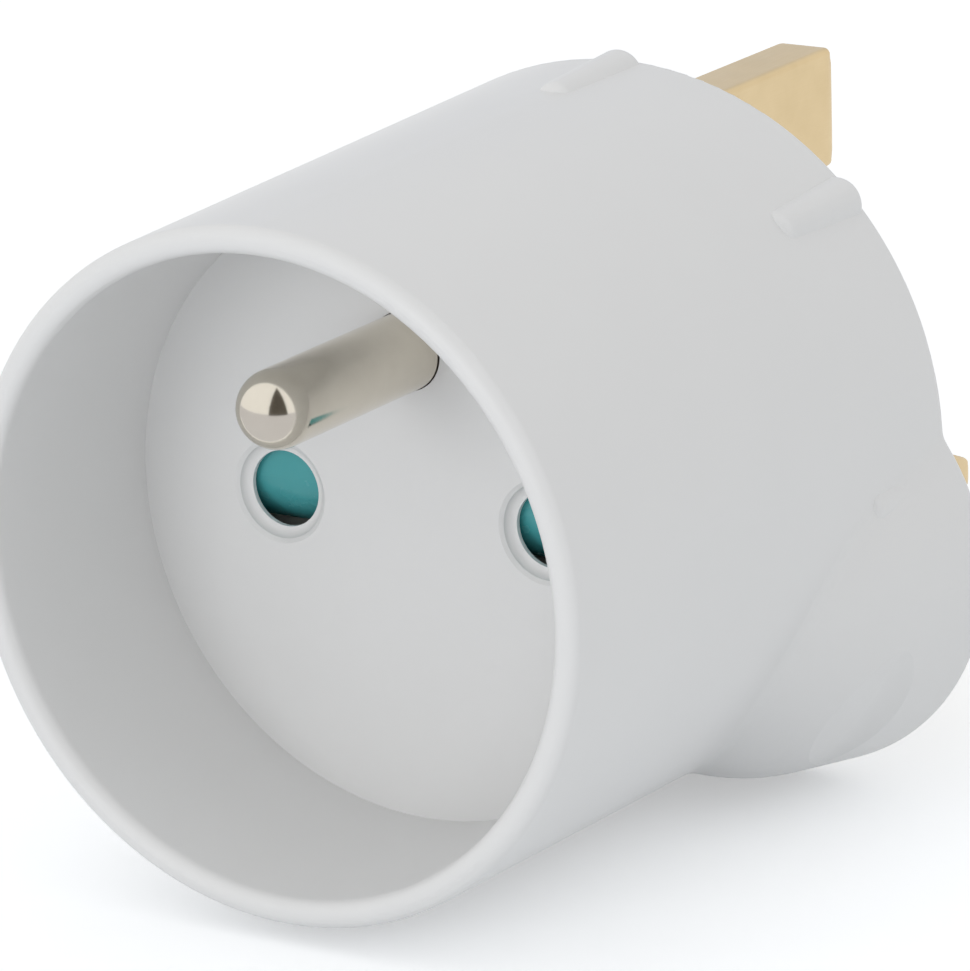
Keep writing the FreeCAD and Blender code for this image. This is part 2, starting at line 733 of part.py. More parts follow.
def make_contact_carrier():
    """Inner moulding: shutter guides in front, contact pockets and clip posts behind."""
    bore = bore_cone(carrier_gap)
    reach = 2 * mouth_r
    solids = [box(-reach, reach, plate_y, plate_back_y, -reach, reach)]
    rail_front = face_thickness + base_gap
    rail_inner = blade_outer + shutter_slide_gap
    rail_foot = blade_foot - rail_below
    rail = box(rail_inner, rail_inner + rail_width, rail_front, plate_y, rail_foot, blade_top + rail_above)
    outer = pocket_half + pocket_wall
    inner_x = max(contact_x - outer, clip_outer + base_gap)
    pocket = box(inner_x, contact_x + outer, plate_back_y, contact_base_y, -outer, outer)
    solids += [rail, mirrored(rail), pocket, mirrored(pocket)]
    stop_top = tongue_foot - spring_seat_gap
    half = tongue_half_width
    solids.append(box(-half, half, rail_front, plate_y, stop_top - rail_width, stop_top))
    peg_low = web_top + peg_clearance
    peg_front = shutter_y + spring_skin + shutter_slide_gap
    solids.append(box(-peg_half_width, peg_half_width, peg_front, plate_y, peg_low, peg_low + peg_height))
    root = socket_root_r + root_gap
    solids.append(bar(root + pocket_wall, plate_back_y, earth_strap_y, 0.0, socket_earth_height))
    for centre in (lower_clip_z, upper_clip_z):
        low = centre - post_half_height
        high = centre + post_half_height
        solids.append(box(-post_half_width, post_half_width, plate_back_y, clip_base_y, low, high))
    carrier = joined([solid.common(bore) for solid in solids])
    cuts = [earth_strap_block(carrier_gap)]
    cuts.append(bar(root, plate_y - over, earth_strap_y + over, 0.0, socket_earth_height))
    for x in (-contact_x, contact_x):
        cuts.append(bar(pin_way_dia / 2, plate_y - over, plate_back_y + over, x))
        cuts.append(box(x - pocket_half, x + pocket_half, plate_back_y, strap_y, -pocket_half, pocket_half))
    for x, z in screw_places:
        cuts.append(bar(boss_dia / 2 + base_gap, plate_y - over, plate_back_y + over, x, z))
    return cut_all(carrier, cuts)


def bent_strip(path, thickness, low, high):
    """Strip of sheet metal bent along (x, y) points, its thickness to the right of the path."""
    normals = []
    for a, b in zip(path, path[1:]):
        length = math.hypot(b[0] - a[0], b[1] - a[1])
        normals.append(((b[1] - a[1]) / length, -(b[0] - a[0]) / length))
    outer = []
    for i, point in enumerate(path):
        before = normals[max(i - 1, 0)]
        after = normals[min(i, len(normals) - 1)]
        scale = thickness / (1 + before[0] * after[0] + before[1] * after[1])
        outer.append((point[0] + (before[0] + after[0]) * scale, point[1] + (before[1] + after[1]) * scale))
    corners = [V(x, y, low) for x, y in path + outer[::-1]]
    return Part.Face(Part.makePolygon(corners + corners[:1])).extrude(V(0, 0, high - low))


def make_contact(side):
    """Springy socket contact: two waisted leaves on a base, with its hole for the rivet."""
    front_y = plate_back_y + shutter_slide_gap
    depth = contact_base_y - front_y
    leaf_inner = pocket_half - leaf_thickness
    leaf_path = [
        (leaf_mouth - leaf_thickness, front_y),
        (leaf_waist, front_y + leaf_flare * depth),
        (leaf_inner, contact_base_y - leaf_straight * depth),
        (leaf_inner, contact_base_y + leaf_thickness / 2),
    ]
    half_height = leaf_height / 2
    leaf = bent_strip(leaf_path, leaf_thickness, -half_height, half_height)
    contact = joined([leaf, mirrored(leaf)])
    contact.translate(V(contact_x, 0, 0))
    half_base = pocket_half + pocket_wall
    inner_x = max(contact_x - half_base, drawer_window(base_gap)[0])
    base = box(inner_x, contact_x + half_base, contact_base_y, strap_y, -half_height, half_height)
    hole = bar(rivet_dia / 2, contact_base_y - over, strap_y + over, contact_x)
    contact = joined([contact, base]).cut(hole)
    return contact if side > 0 else mirrored(contact)


def make_rivet(side):
    """Rivet that joins a contact to its strap."""
    x = side * contact_x
    shank = bar(rivet_dia / 2, contact_base_y, strap_back_y, x)
    front = bar(rivet_head_dia / 2, contact_base_y - rivet_head_height, contact_base_y, x)
    back = bar(rivet_head_dia / 2, strap_back_y, strap_back_y + rivet_head_height, x)
    return joined([shank, front, back])


def strap_hole(diameter, x, z=0.0):
    """Hole through a strap for a rivet or a pin's tenon."""
    return bar(diameter / 2, strap_y - over, strap_back_y + over, x, z)


def make_neutral_strap():
    """Strap from the neutral pin up to the neutral contact."""
    half_pin = line_pin_width / 2
    half_contact = leaf_height / 2
    low = line_pin_z - strap_slope
    high = line_pin_z + half_pin
    points = [
        (-ear_x - half_pin, low),
        (-ear_x + half_pin, low),
        (-ear_x + half_pin, high),
        (-contact_x + half_contact, half_contact),
        (-contact_x - half_contact, half_contact),
        (-ear_x - half_pin, high),
    ]
    strap = plate(points, strap_y, strap_back_y)
    return cut_all(strap, [strap_hole(tenon_dia, -ear_x, line_pin_z), strap_hole(rivet_dia, -contact_x)])


def fuse_clip(centre):
    """U-shaped clip that grips one cap of the fuse, open towards the plug face."""
    low = centre - fuse_cap_length / 2 + clip_setback
    high = centre + fuse_cap_length / 2 - clip_setback
    back = box(-clip_outer, clip_outer, clip_base_y, clip_base_y + clip_thickness, low, high)
    leaf = box(clip_inner, clip_outer, clip_base_y, fuse_y + clip_rise, low, high)
    return [back, leaf, mirrored(leaf)]


def make_supply_clip():
    """Lower fuse clip with its arm round the screw boss to the live pin."""
    root = clip_outer - clip_thickness / 2
    half_pin = line_pin_width / 2
    half_tall = line_pin_height / 2
    boss_left = screw_x - boss_dia / 2 - arm_gap
    boss_top = boss_dia / 2 + arm_gap - screw_z
    cheek_side = drawer_window(arm_gap)[0]
    neck_z = lower_clip_z + arm_width
    points = [
        (root, lower_clip_z + arm_gap),
        (boss_left, lower_clip_z + arm_gap),
        (boss_left, boss_top),
        (ear_x, boss_top),
        (ear_x + half_pin, line_pin_z - half_tall),
        (ear_x + half_pin, line_pin_z + half_tall),
        (ear_x - half_pin, line_pin_z + half_tall),
        (cheek_side, boss_top + arm_width / 2),
        (cheek_side, neck_z + arm_gap),
        (root, neck_z),
    ]
    arm = plate(points, strap_y, strap_back_y)
    return joined(fuse_clip(lower_clip_z) + [arm]).cut(strap_hole(tenon_dia, ear_x, line_pin_z))


def make_load_clip():
    """Upper fuse clip with its arm to the live contact."""
    root = clip_outer - clip_thickness / 2
    half = leaf_height / 2
    points = [
        (root, upper_clip_z - arm_width / 2),
        (contact_x - half, -half),
        (contact_x + half, -half),
        (contact_x + half, half),
        (contact_x - half, half),
        (root, upper_clip_z + arm_width / 2),
    ]
    arm = plate(points, strap_y, strap_back_y)
    return joined(fuse_clip(upper_clip_z) + [arm]).cut(strap_hole(rivet_dia, contact_x))


def upright_bar(radius, z0, z1):
    """Round bar along Z on the fuse's axis."""
    return Part.makeCylinder(radius, z1 - z0, V(0, fuse_y, z0))


def make_fuse():
    """Ceramic tube and the two metal caps of the cartridge fuse."""
    end = fuse_length / 2
    cap_r = fuse_dia / 2
    tube_r = fuse_tube_dia / 2
    tube = upright_bar(tube_r, fuse_height - end + fuse_cap_wall, fuse_height + end - fuse_cap_wall)
    lower = upright_bar(cap_r, fuse_height - end, fuse_height - end + fuse_cap_length).cut(tube)
    upper = upright_bar(cap_r, fuse_height + end - fuse_cap_length, fuse_height + end).cut(tube)
    return tube, lower, upper


def make_drawer():
    """Fuse drawer: flush front plate, two cheeks beside the fuse and a stop at each end."""
    half, low, high = drawer_window(0.0)
    inner_y = fuse_y - drawer_reach
    plate_inner_y = face_y - drawer_plate
    front = box(-half, half, plate_inner_y, face_y, low, high)
    reach = fuse_length / 2 - fuse_cap_length - cheek_setback
    cheek = box(half - drawer_cheek, half, inner_y, plate_inner_y, fuse_height - reach, fuse_height + reach)
    stop_half = fuse_tube_dia / 2
    solids = [front, cheek, mirrored(cheek)]
    for start in (low, high - drawer_end_wall):
        solids.append(box(-stop_half, stop_half, inner_y, plate_inner_y, start, start + drawer_end_wall))
    across = notch_half_width
    notch = box(-across, across, face_y - notch_depth, face_y + over, low - over, low + drawer_end_wall)
    return joined(solids).cut(notch)


def make_all():
    """Every piece of the adapter by name."""
    tube, cap_low, cap_high = make_fuse()
    parts = {
        "housing": make_housing(),
        "plug_base": make_base(),
        "contact_carrier": make_contact_carrier(),
        "shutter": make_shutter(),
        "shutter_spring": make_spring(),
        "socket_earth_pin": make_socket_earth_pin(),
        "plug_earth_pin": make_plug_earth_pin(),
        "earth_strap": make_earth_strap(),
        "plug_live_pin": make_line_pin(1),
        "plug_neutral_pin": make_line_pin(-1),
        "live_pin_sleeve": make_sleeve(1),
        "neutral_pin_sleeve": make_sleeve(-1),
        "live_contact": make_contact(1),
        "neutral_contact": make_contact(-1),
        "live_rivet": make_rivet(1),
        "neutral_rivet": make_rivet(-1),
        "neutral_strap": make_neutral_strap(),
        "supply_clip": make_supply_clip(),
        "load_clip": make_load_clip(),
        "fuse_drawer": make_drawer(),
        "fuse_tube": tube,
        "fuse_lower_cap": cap_low,
        "fuse_upper_cap": cap_high,
    }
    for number, (x, z) in enumerate(screw_places, 1):
        parts[f"base_screw_{number}"] = make_screw(x, z)
    return parts


def single_solid(shape):
    """The one solid of a shape that a boolean left inside a compound."""
    return shape.Solids[0] if len(shape.Solids) == 1 else shape


if __name__ == "__main__":
    os.makedirs("parts", exist_ok=True)
    for name, shape in make_all().items():
        single_solid(shape).exportStep(f"parts/{name}.step")
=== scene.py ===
"""Looks of the plug adapter: white moulded cup, teal shutter, nickel and brass pins.

Lengths are in metres, in the part's own frame: X right as one faces the socket, +Y out of the
plug face along its pins, Z up. The origin is the middle of the socket face.
"""

import json
import math

import bmesh
import bpy
from mathutils import Matrix, Vector


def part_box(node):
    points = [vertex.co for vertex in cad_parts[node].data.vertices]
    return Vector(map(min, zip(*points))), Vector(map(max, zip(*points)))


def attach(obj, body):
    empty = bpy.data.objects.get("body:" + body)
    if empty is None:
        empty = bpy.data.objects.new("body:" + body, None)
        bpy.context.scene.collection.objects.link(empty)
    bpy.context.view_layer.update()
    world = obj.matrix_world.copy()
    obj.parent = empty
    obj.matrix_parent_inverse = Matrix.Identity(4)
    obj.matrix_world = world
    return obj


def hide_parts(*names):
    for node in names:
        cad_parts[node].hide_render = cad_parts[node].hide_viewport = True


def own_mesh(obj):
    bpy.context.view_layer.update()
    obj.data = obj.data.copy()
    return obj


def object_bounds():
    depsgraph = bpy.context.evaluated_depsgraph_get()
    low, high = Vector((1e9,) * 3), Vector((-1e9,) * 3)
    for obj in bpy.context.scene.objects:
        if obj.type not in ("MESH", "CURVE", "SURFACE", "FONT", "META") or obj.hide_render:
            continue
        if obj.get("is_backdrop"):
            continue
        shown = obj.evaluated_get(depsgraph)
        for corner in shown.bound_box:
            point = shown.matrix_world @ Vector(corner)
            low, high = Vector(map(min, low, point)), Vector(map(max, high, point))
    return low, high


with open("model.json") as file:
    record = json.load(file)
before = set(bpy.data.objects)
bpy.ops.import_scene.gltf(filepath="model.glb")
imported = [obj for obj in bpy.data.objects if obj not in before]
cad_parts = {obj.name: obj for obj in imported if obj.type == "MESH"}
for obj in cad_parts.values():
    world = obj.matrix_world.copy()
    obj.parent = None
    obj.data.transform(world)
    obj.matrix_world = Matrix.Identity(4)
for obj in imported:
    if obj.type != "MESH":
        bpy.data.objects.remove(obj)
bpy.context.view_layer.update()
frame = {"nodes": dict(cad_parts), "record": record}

MM = 0.001
QUARTER_TURN = math.pi / 2

# Camera, solved on the photograph: where it stands, which way it looks, its lens
CAMERA_PLACE = Vector((189.84, -286.65, 105.51)) * MM
CAMERA_RIGHT = Vector((0.84556, 0.53296, -0.03125))
CAMERA_UP = Vector((-0.12920, 0.26107, 0.95664))
CAMERA_BACK = Vector((0.51801, -0.80486, 0.28961))
PHOTO_HEIGHT = 971
FOCAL_PIXELS = 5990.92
SENSOR_HEIGHT = 36.0

# Floor: its colour and gloss, how far it reaches, and how much it glows so that it shows as white
FLOOR_SHADE = (0.86, 0.88, 0.90, 1)
FLOOR_ROUGHNESS = 0.9
FLOOR_SHINE = 0.1
FLOOR_HALF = 3.0
FLOOR_LIFT = 0.37

# Light: strengths of the white surroundings, then each lamp's place, size and power in watts
ROOM_LIGHT = 0.72
ROOM_SEEN = 1.0
LAMPS = {
    "front_lamp": ((-0.16, -0.74, 0.14), 0.30, 0.75),
    "camera_lamp": ((0.34, -0.66, 0.13), 0.28, 0.40),
    "top_lamp": ((-0.20, -0.20, 0.70), 0.50, 0.25),
}

# Cards that only gloss shows, by corners measured up from the floor, with their two shades. They glow
# and are painted reflections, which neither light nor shade anything: a dark one that leans over the
# camera paints the dark patch on the ball tip, a dimmer one behind the pins paints the duller tops of
# the brass pins, and a dimmer one lying before the cup paints the floor dimmer in gloss
CARD_GRAIN = 0.020
CARDS = {
    # painted reflection: the dark patch on the nickel pin's ball tip
    "dark_card": (
        ((0.093, -0.505, 0.0), (0.454, -0.224, 0.0), (0.083, -0.115, 0.52)),
        ((0.004, 0.004, 0.003, 1), (0.20, 0.18, 0.155, 1)),
    ),
    # painted reflection: duller, greyer tops on the brass pins
    "rear_card": (
        ((-1.3, 1.0, 0.10), (0.0, 1.0, 0.10), (0.0, 1.0, 0.70), (-1.3, 1.0, 0.70)),
        ((0.73, 0.76, 0.82, 1), (0.79, 0.82, 0.88, 1)),
    ),
    # painted reflection: a dimmer floor before the cup, as gloss shows it
    "table_card": (
        ((-1.5, -2.0, 0.001), (1.5, -2.0, 0.001), (1.5, -0.018, 0.001), (-1.5, -0.018, 0.001)),
        ((0.66, 0.66, 0.70, 1), (0.72, 0.72, 0.76, 1)),
    ),
}

# Finishes: the two shades between which each colour drifts, the white plastic's index of refraction,
# and how fast the marks of moulding, turning and drawing change along X, Y and Z
WHITE_SHADES = ((0.785, 0.787, 0.786, 1), (0.808, 0.810, 0.808, 1))
TEAL_SHADES = ((0.065, 0.36, 0.38, 1), (0.09, 0.41, 0.43, 1))
NICKEL_SHADES = ((0.72, 0.665, 0.57, 1), (0.79, 0.74, 0.64, 1))
BRASS_SHADES = ((0.64, 0.49, 0.27, 1), (0.74, 0.58, 0.345, 1))
PLASTIC_IOR = 1.49
MOULD_FLOW = (1.0, 0.35, 1.0)
TURNED_RINGS = (0.1, 1.0, 0.1)
DRAWN_LINES = (1.0, 0.03, 1.0)

# Base screws: the crossed slots, of which the second is a little shallower, the head's share of the
# length, the shank, its point's length and blunt end in radii of the shank, and the thread
CROSS_REACH = 1.6 * MM
CROSS_WIDTH = 0.75 * MM
CROSS_DEPTH = 0.9 * MM
CROSS_STEP = 0.93
HEAD_SHARE = 0.155
HEAD_SIDES = 48
SHANK_RADIUS = 1.2 * MM
SHANK_SIDES = 32
POINT_LENGTH = 1.6
POINT_BLUNT = 0.25
THREAD_PITCH = 1.1 * MM
THREAD_RISE = 0.22 * MM
THREAD_STEPS = 24
THREAD_SIDES = 4
SCREW_SEED = 4

# Shutter spring: its wire and turns, and how finely its turns and its wire are cut
SPRING_WIRE = 0.32 * MM
SPRING_TURNS = 6.0
SPRING_STEPS = 28
WIRE_SIDES = 10

# Tips of the plug's pins: how long the taper is, how much height it takes on each side, and the round
# at the very end, then how far that round's corners reach and how finely both are cut
TIPS = {
    "plug_earth_pin": (2.0 * MM, 0.0, 1.5 * MM),
    "plug_live_pin": (3.2 * MM, 1.2 * MM, 0.8 * MM),
    "plug_neutral_pin": (3.2 * MM, 1.2 * MM, 0.8 * MM),
}
TIP_CORNER = 2.2 * MM
TIP_STEPS = 8
CORNER_STEPS = 4

# Rounds on the edges of hard pieces, and what counts as one point, as flat, as an edge and as a face
# that runs straight along a pin
PIN_EASE = 0.14 * MM
DRAWER_EASE = 0.12 * MM
EASE_SEGMENTS = 3
MERGE = 0.002 * MM
FLAT_ANGLE = math.radians(0.8)
EDGE_ANGLE = math.radians(28)
STRAIGHT = 0.01


class Amount:
    """A number, colour or shape that a node gives. Sums on it add Math nodes."""

    def __init__(self, tree, socket):
        self.tree = tree
        self.socket = socket

    def _math(self, operation, first, second):
        values = {0: first, 1: second}
        return self.tree.node("ShaderNodeMath", {"operation": operation}, values)["Value"]

    def __add__(self, other):
        return self._math("ADD", self, other)

    def __sub__(self, other):
        return self._math("SUBTRACT", self, other)

    def __rsub__(self, other):
        return self._math("SUBTRACT", other, self)

    def __mul__(self, other):
        return self._math("MULTIPLY", self, other)

    def __truediv__(self, other):
        return self._math("DIVIDE", self, other)

    def __rtruediv__(self, other):
        return self._math("DIVIDE", other, self)

    def larger(self, other):
        return self._math("MAXIMUM", self, other)

    __radd__ = __add__
    __rmul__ = __mul__


class Tree:
    """A node tree, with the one method that adds a node and feeds its sockets."""

    def __init__(self, tree):
        self.tree = tree

    def node(self, kind, settings=None, values=None):
        """Adds a node: its settings first, then a value or a link for each socket, by name or number.

        Gives the node's outputs that are in use, by name.
        """
        node = self.tree.nodes.new(kind)
        for key, value in (settings or {}).items():
            setattr(node, key, value)
        for key, value in (values or {}).items():
            self.feed(self.pick(node.inputs, key), value)
        return {out.name: Amount(self, out) for out in reversed(node.outputs) if out.enabled}

    def pick(self, sockets, key):
        if isinstance(key, int):
            return sockets[key]
        return next(socket for socket in sockets if socket.name == key and socket.enabled)

    def feed(self, socket, value):
        if isinstance(value, Amount):
            self.tree.links.new(value.socket, socket)
        elif isinstance(value, list):
            for item in value:
                self.tree.links.new(item.socket, socket)
        else:
            socket.default_value = value


class Paint(Tree):
    """The node tree of one finish, with a shader and what feeds it."""

    def __init__(self, name):
        self.material = bpy.data.materials.new(name)
        self.material.use_nodes = True
        super().__init__(self.material.node_tree)
        self.shader = self.tree.nodes["Principled BSDF"]
        self.place = self.node("ShaderNodeTexCoord")["Object"]

    def fixed(self, **values):
        """Numbers that are the same all over the surface, by the shader's socket names."""
        for key, value in values.items():
            self.shader.inputs[key.replace("_", " ")].default_value = value

    def varied(self, **values):
        """What changes over the surface, by the shader's socket names."""
        for key, value in values.items():
            self.feed(self.shader.inputs[key.replace("_", " ")], value)

    def noise(self, size, detail=2.0, rough=0.5, stretch=(1.0, 1.0, 1.0)):
        """Cloudy noise from 0 to 1, its grain about the given size in metres."""
        scale = tuple(k / size for k in stretch)
        where = self.node("ShaderNodeMapping", {}, {"Vector": self.place, "Scale": scale})["Vector"]
        values = {"Vector": where, "Scale": 1.0, "Detail": detail, "Roughness": rough}
        return self.node("ShaderNodeTexNoise", {}, values)["Fac"]

    def blend(self, share, first, second):
        """Mixes two colours by a share from 0 to 1."""
        values = {"Factor": share, "A": first, "B": second}
        return self.node("ShaderNodeMix", {"data_type": "RGBA"}, values)["Result"]

    def clouds(self, shades, size, detail=3.0):
        """Lets the colour drift between two shades."""
        self.varied(Base_Color=self.blend(self.noise(size, detail), *shades))

    def bump(self, height, distance):
        values = {"Height": height, "Distance": distance, "Strength": 1.0}
        self.varied(Normal=self.node("ShaderNodeBump", {}, values)["Normal"])


def white_plastic():
    """Glossy white moulding with faint clouds in its colour and a very fine grain."""
    paint = Paint("white_gloss_plastic")
    paint.fixed(IOR=PLASTIC_IOR, Coat_Weight=0.0)
    paint.clouds(WHITE_SHADES, 9 * MM)
    flow = paint.noise(4 * MM, detail=4.0, rough=0.55, stretch=MOULD_FLOW)
    paint.varied(Roughness=0.27 + 0.10 * flow)
    grain = paint.noise(0.35 * MM, detail=3.0)
    paint.bump(grain + 2.5 * flow, distance=0.004 * MM)
    return paint.material


def teal_plastic():
    """Smooth through-coloured plastic of the shutter."""
    paint = Paint("teal_shutter_plastic")
    paint.clouds(TEAL_SHADES, 3 * MM)
    paint.varied(Roughness=0.2 + 0.12 * paint.noise(1.2 * MM, detail=3.0))
    paint.bump(paint.noise(0.4 * MM), distance=0.004 * MM)
    return paint.material


def nickel_plate():
    """Nickel over turned brass: warm grey, with fine rings left by the tool."""
    paint = Paint("nickel_plate")
    paint.fixed(Metallic=1.0)
    paint.clouds(NICKEL_SHADES, 1.5 * MM, detail=4.0)
    rings = paint.noise(0.12 * MM, detail=3.0, rough=0.6, stretch=TURNED_RINGS)
    paint.varied(Roughness=0.08 + 0.12 * rings)
    paint.bump(rings, distance=0.0025 * MM)
    return paint.material


def drawn_brass():
    """Brass drawn along the pin, a little duller in patches."""
    paint = Paint("drawn_brass")
    paint.fixed(Metallic=1.0)
    paint.clouds(BRASS_SHADES, 2.5 * MM, detail=4.0)
    lines = paint.noise(0.10 * MM, detail=3.0, rough=0.6, stretch=DRAWN_LINES)
    paint.varied(Roughness=0.24 + 0.2 * lines)
    paint.bump(lines, distance=0.003 * MM)
    return paint.material


def plain_finish(name, dark, light, rough, metal=0.0, grain=1.0):
    """A finish with a little cloud in its colour and gloss, for the pieces inside and at the rear.

    The grain is the size in mm of what varies in its gloss; its fine bumps are a quarter of that.
    """
    paint = Paint(name)
    paint.fixed(Metallic=metal)
    paint.clouds(((*dark, 1), (*light, 1)), 3 * MM)
    paint.varied(Roughness=rough + 0.12 * paint.noise(grain * MM, detail=3.0))
    paint.bump(paint.noise(0.25 * grain * MM), distance=0.005 * MM)
    return paint.material


FINISHES = {
    "white_gloss": white_plastic(),
    "white_inner": plain_finish("inner_plastic", (0.62, 0.61, 0.57), (0.68, 0.67, 0.63), 0.5),
    "drawer_grey": plain_finish("drawer_plastic", (0.42, 0.44, 0.45), (0.48, 0.50, 0.51), 0.42),
    "teal_shutter": teal_plastic(),
    "nickel_plate": nickel_plate(),
    "plain_brass": drawn_brass(),
    "black_sleeve": plain_finish("sleeve_plastic", (0.015, 0.015, 0.016), (0.025, 0.025, 0.026), 0.4),
    "zinc_steel": plain_finish(
        "zinc_plate", (0.50, 0.51, 0.52), (0.60, 0.60, 0.60), 0.3, metal=1.0, grain=0.5),
    "spring_steel": plain_finish(
        "spring_wire", (0.45, 0.45, 0.45), (0.55, 0.55, 0.55), 0.25, metal=1.0, grain=0.3),
    "ceramic_tube": plain_finish("ceramic_body", (0.74, 0.71, 0.65), (0.80, 0.77, 0.71), 0.55),
}


def dress(mesh, slot):
    """Gives a mesh the finish of a slot, and no other."""
    mesh.materials.clear()
    mesh.materials.append(FINISHES[slot])


SLOTS = {row["node"]: row["material_slot"] for row in frame["record"]["subparts"]}
for node_name, slot_name in SLOTS.items():
    dress(frame["nodes"][node_name].data, slot_name)


def add_object(name, data):
    """A new object in the scene, which holds a mesh, a camera or a lamp."""
    added = bpy.data.objects.new(name, data)
    bpy.context.scene.collection.objects.link(added)
    return added


def add_piece(name, mesh, slot, body, *nodes):
    """A finished mesh as a piece that rides on a body and stands for some nodes of the frame."""
    piece = add_object(name, mesh)
    dress(mesh, slot)
    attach(piece, body)
    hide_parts(*nodes)
    return piece


def plain_mesh(holder):
    """The mesh that an object's modifiers give; the object itself is removed."""
    seen = holder.evaluated_get(bpy.context.evaluated_depsgraph_get())
    mesh = bpy.data.meshes.new_from_object(seen)
    bpy.data.objects.remove(holder)
    return mesh


def smooth(mesh):
    """Smooth shading everywhere but over hard edges."""
    mesh.shade_smooth()
    mesh.set_sharp_from_angle(angle=EDGE_ANGLE)


def opened(node):
    """A working copy of a solid's mesh, with its facets joined at their points."""
    work = bmesh.new()
    work.from_mesh(frame["nodes"][node].data)
    bmesh.ops.remove_doubles(work, verts=work.verts, dist=MERGE)
    return work


def closed(work, name):
    """The mesh that a working copy has become."""
    mesh = bpy.data.meshes.new(name)
    work.to_mesh(mesh)
    work.free()
    return mesh


def cut_beyond(work, start, place, normal):
    """Cuts the part of a mesh beyond y = start along a plane."""
    kept = {vert for vert in work.verts if vert.co.y > start - MERGE}
    whole = [item for item in work.edges[:] + work.faces[:] if kept.issuperset(item.verts)]
    bmesh.ops.bisect_plane(work, geom=list(kept) + whole, plane_co=place, plane_no=normal)


def round_tip(work, node):
    """Draws a pin in towards its tip along a taper and a quarter round, with wider corners there."""
    low, high = (Vector(corner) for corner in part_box(node))
    taper, slope, tip_round = TIPS[node]
    bend = high.y - taper
    start = high.y - tip_round
    outer = [vert.co for vert in work.verts if vert.co.y > start]
    least, most = (Vector([pick(co[axis] for co in outer) for axis in range(3)]) for pick in (min, max))
    middle = (least + most) / 2
    size = (most - least) / 2

    # Cuts come first: where the taper bends, along the round and across its corners
    cut_beyond(work, low.y, (0, bend, 0), (0, 1, 0))
    cut_beyond(work, low.y, (0, start, 0), (0, 1, 0))
    for step in range(1, TIP_STEPS):
        place = start + tip_round * math.sin(step / TIP_STEPS * QUARTER_TURN)
        cut_beyond(work, start, (0, place, 0), (0, 1, 0))
    for axis in (0, 2):
        for side in (-1, 1):
            for step in range(1, CORNER_STEPS):
                place, normal = middle.copy(), Vector()
                place[axis] += side * (size[axis] - TIP_CORNER * step / CORNER_STEPS)
                normal[axis] = 1
                cut_beyond(work, start, place, normal)

    # Then each point moves in towards the pin's middle line
    for co in (vert.co for vert in work.verts if vert.co.y > start):
        reach = min((co.y - start) / tip_round, 1.0)
        inset = tip_round * (1 - math.sqrt(1 - reach * reach))
        half = Vector((size.x - inset, size.z - inset))
        corner = min(TIP_CORNER * reach, *half)
        core = half - Vector((corner, corner))
        offset = Vector((co.x - middle.x, co.z - middle.z))
        over = Vector([min(max(abs(o) - c, 0.0), corner) for o, c in zip(offset, core)])
        if over.length > corner:
            over *= corner / over.length
        inner = [min(abs(o), c) for o, c in zip(offset, core)]
        co.x = middle.x + math.copysign(inner[0] + over.x, offset.x)
        co.z = middle.z + math.copysign(inner[1] + over.y, offset.y)
    for co in (vert.co for vert in work.verts if vert.co.y > bend):
        co.z += (middle.z - co.z) * (co.y - bend) / taper * slope / size.z


def eased_piece(name, node, ease, body="root"):
    """A hard-edged solid with its edges rounded a little, as a tumbled or moulded piece has them."""
    work = opened(node)
    bmesh.ops.dissolve_limit(work, angle_limit=FLAT_ANGLE, verts=work.verts, edges=work.edges)
    if node in TIPS:
        round_tip(work, node)
    holder = add_object(name, closed(work, name))
    bevel = holder.modifiers.new("ease", "BEVEL")
    bevel.width = ease
    bevel.segments = EASE_SEGMENTS
    bevel.limit_method = "ANGLE"
    bevel.angle_limit = EDGE_ANGLE
    bevel.use_clamp_overlap = True
    mesh = plain_mesh(holder)
    smooth(mesh)
    add_piece(name, mesh, SLOTS[node], body, node)


def domed_piece(name, node):
    """A turned pin along Y with a ball end, shaded as truly round, so that its gloss shows no facet."""
    low, high = (Vector(corner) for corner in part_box(node))
    middle = (low + high) / 2
    ball = Vector((middle.x, low.y + (high.x - low.x) / 2, middle.z))
    mesh = closed(opened(node), name)
    smooth(mesh)
    normals = [corner.vector.copy() for corner in mesh.corner_normals]
    for face in mesh.polygons:
        for index in face.loop_indices:
            offset = mesh.vertices[mesh.loops[index].vertex_index].co - ball
            if abs(face.normal.y) < STRAIGHT:
                offset.y = 0
            elif offset.y > MERGE:
                continue
            normals[index] = offset.normalized()
    mesh.normals_split_custom_set(normals)
    add_piece(name, mesh, SLOTS[node], "root", node)


